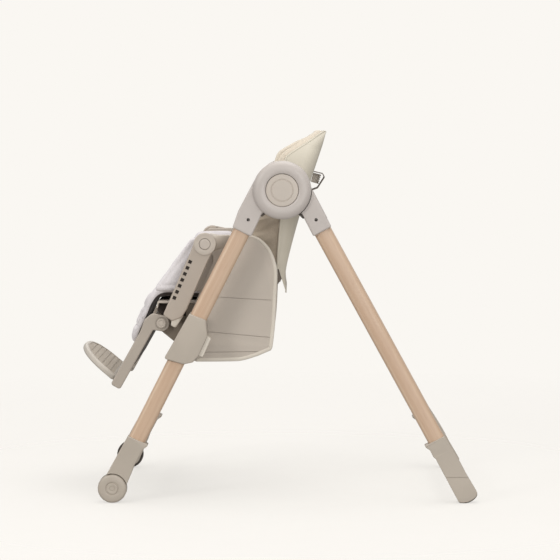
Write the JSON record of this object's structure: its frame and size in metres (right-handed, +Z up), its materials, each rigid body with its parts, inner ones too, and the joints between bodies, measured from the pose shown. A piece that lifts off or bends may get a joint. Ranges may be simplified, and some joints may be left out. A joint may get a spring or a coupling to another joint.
{
  "type": "baby high chair",
  "caption": "Folding baby high chair with round wooden legs, height-adjustable bucket seat, reclining back, folding armrests, leg rest and foot plate.",
  "frame": {"origin": "on the floor, in the middle of the footprint", "axes": "+Z up, the chair faces -Y, the chair's left side is +X"},
  "size_m": [0.6, 0.8835, 0.8294],
  "materials": {
    "wood": "pale matt-lacquered beech",
    "beige_plastic": "warm greige moulded plastic",
    "shell_plastic": "darker greige moulded plastic",
    "back_plastic": "olive beige moulded plastic",
    "button_plastic": "greige satin plastic",
    "dark_plastic": "black moulded plastic",
    "rubber": "dark grippy rubber",
    "steel": "greige powder coat",
    "liner_fabric": "pale lavender grey woven cover",
    "webbing": "greige woven webbing"
  },
  "bodies": {
    "front_frame": {"front_leg_left": "wood", "front_leg_right": "wood", "front_hub_left": "beige_plastic", "front_hub_right": "beige_plastic", "front_hub_screw_left": "steel", "front_hub_screw_right": "steel", "hub_pivot_left": "steel", "hub_pivot_right": "steel", "wheel_housing_left": "beige_plastic", "wheel_housing_right": "beige_plastic", "wheel_axle_left": "steel", "wheel_axle_right": "steel", "front_crossbar": "steel"},
    "rear_frame": {"rear_leg_left": "wood", "rear_leg_right": "wood", "rear_hub_left": "beige_plastic", "rear_hub_right": "beige_plastic", "rear_hub_screw_left": "steel", "rear_hub_screw_right": "steel", "rear_boot_left": "beige_plastic", "rear_boot_right": "beige_plastic", "rear_sole_left": "rubber", "rear_sole_right": "rubber", "rear_crossbar": "steel"},
    "wheel_left": {"front_wheel_left": "beige_plastic"},
    "wheel_right": {"front_wheel_right": "beige_plastic"},
    "fold_button_left": {"fold_button_left": "button_plastic"},
    "fold_button_right": {"fold_button_right": "button_plastic"},
    "seat": {"carriage_left": "beige_plastic", "carriage_right": "beige_plastic", "seat_shell_left": "shell_plastic", "seat_shell_right": "shell_plastic", "seat_cross_tube": "steel", "seat_pan": "shell_plastic", "seat_base": "shell_plastic", "seat_cushion": "liner_fabric", "side_pad_left": "liner_fabric", "side_pad_right": "liner_fabric", "crotch_strap": "webbing", "buckle": "dark_plastic", "waist_strap_left": "webbing", "waist_strap_right": "webbing", "leg_rest_pin_left": "button_plastic", "leg_rest_pin_right": "button_plastic"},
    "height_lever_left": {"height_lever_left": "button_plastic"},
    "height_lever_right": {"height_lever_right": "button_plastic"},
    "armrest_left": {"armrest_left": "shell_plastic"},
    "armrest_right": {"armrest_right": "shell_plastic"},
    "armrest_button_left": {"armrest_button_left": "button_plastic"},
    "armrest_button_right": {"armrest_button_right": "button_plastic"},
    "leg_rest": {"leg_rest_frame": "beige_plastic", "calf_pad": "liner_fabric", "foot_plate_pin": "steel"},
    "foot_plate": {"foot_plate": "back_plastic"},
    "backrest": {"back_shell": "back_plastic", "back_liner": "liner_fabric", "shoulder_strap_left": "webbing", "shoulder_strap_right": "webbing"},
    "recline_handle": {"recline_handle": "dark_plastic"}
  },
  "joints": [
    {"name": "rear_fold", "type": "hinge", "parent": "front_frame", "child": "rear_frame", "pos_m": [0, 0.01185, 0.6897], "axis": [-1, 0, 0], "range_deg": [0, 54]},
    {"name": "seat_height", "type": "slide", "parent": "front_frame", "child": "seat", "axis": [0, 0.4509, 0.8926], "range_m": [0, 0.2]},
    {"name": "backrest_recline", "type": "hinge", "parent": "seat", "child": "backrest", "pos_m": [0, -0.04795, 0.455], "axis": [-1, 0, 0], "range_deg": [0, 42]},
    {"name": "recline_squeeze", "type": "slide", "parent": "backrest", "child": "recline_handle", "axis": [0, 0.2756, 0.9613], "range_m": [0, 0.008], "stiffness_N_per_m": 500, "springref_m": -0.006},
    {"name": "leg_rest_tilt", "type": "hinge", "parent": "seat", "child": "leg_rest", "pos_m": [0, -0.25805, 0.3909], "axis": [-1, 0, 0], "range_deg": [0, 50]},
    {"name": "foot_plate_fold", "type": "hinge", "parent": "leg_rest", "child": "foot_plate", "pos_m": [0, -0.35815, 0.255], "axis": [-1, 0, 0], "range_deg": [0, 58]},
    {"name": "wheel_spin_left", "type": "hinge", "parent": "front_frame", "child": "wheel_left", "pos_m": [0.268, -0.36295, 0.0322], "axis": [1, 0, 0], "continuous": true},
    {"name": "fold_press_left", "type": "slide", "parent": "front_frame", "child": "fold_button_left", "axis": [-1, 0, 0], "range_m": [0, 0.006], "stiffness_N_per_m": 900, "springref_m": -0.004},
    {"name": "height_squeeze_left", "type": "slide", "parent": "seat", "child": "height_lever_left", "axis": [0, -0.8926, 0.4509], "range_m": [0, 0.005], "stiffness_N_per_m": 600, "springref_m": -0.004},
    {"name": "armrest_swing_left", "type": "hinge", "parent": "seat", "child": "armrest_left", "pos_m": [0.2145, -0.15955, 0.5698], "axis": [-1, 0, 0], "range_deg": [0, 66]},
    {"name": "armrest_press_left", "type": "slide", "parent": "armrest_left", "child": "armrest_button_left", "axis": [-1, 0, 0], "range_m": [0, 0.004], "stiffness_N_per_m": 400, "springref_m": -0.003},
    {"name": "wheel_spin_right", "type": "hinge", "parent": "front_frame", "child": "wheel_right", "pos_m": [-0.268, -0.36295, 0.0322], "axis": [1, 0, 0], "continuous": true},
    {"name": "fold_press_right", "type": "slide", "parent": "front_frame", "child": "fold_button_right", "axis": [1, 0, 0], "range_m": [0, 0.006], "stiffness_N_per_m": 900, "springref_m": -0.004},
    {"name": "height_squeeze_right", "type": "slide", "parent": "seat", "child": "height_lever_right", "axis": [0, -0.8926, 0.4509], "range_m": [0, 0.005], "stiffness_N_per_m": 600, "springref_m": -0.004},
    {"name": "armrest_swing_right", "type": "hinge", "parent": "seat", "child": "armrest_right", "pos_m": [-0.2145, -0.15955, 0.5698], "axis": [-1, 0, 0], "range_deg": [0, 66]},
    {"name": "armrest_press_right", "type": "slide", "parent": "armrest_right", "child": "armrest_button_right", "axis": [1, 0, 0], "range_m": [0, 0.004], "stiffness_N_per_m": 400, "springref_m": -0.003}
  ]
}
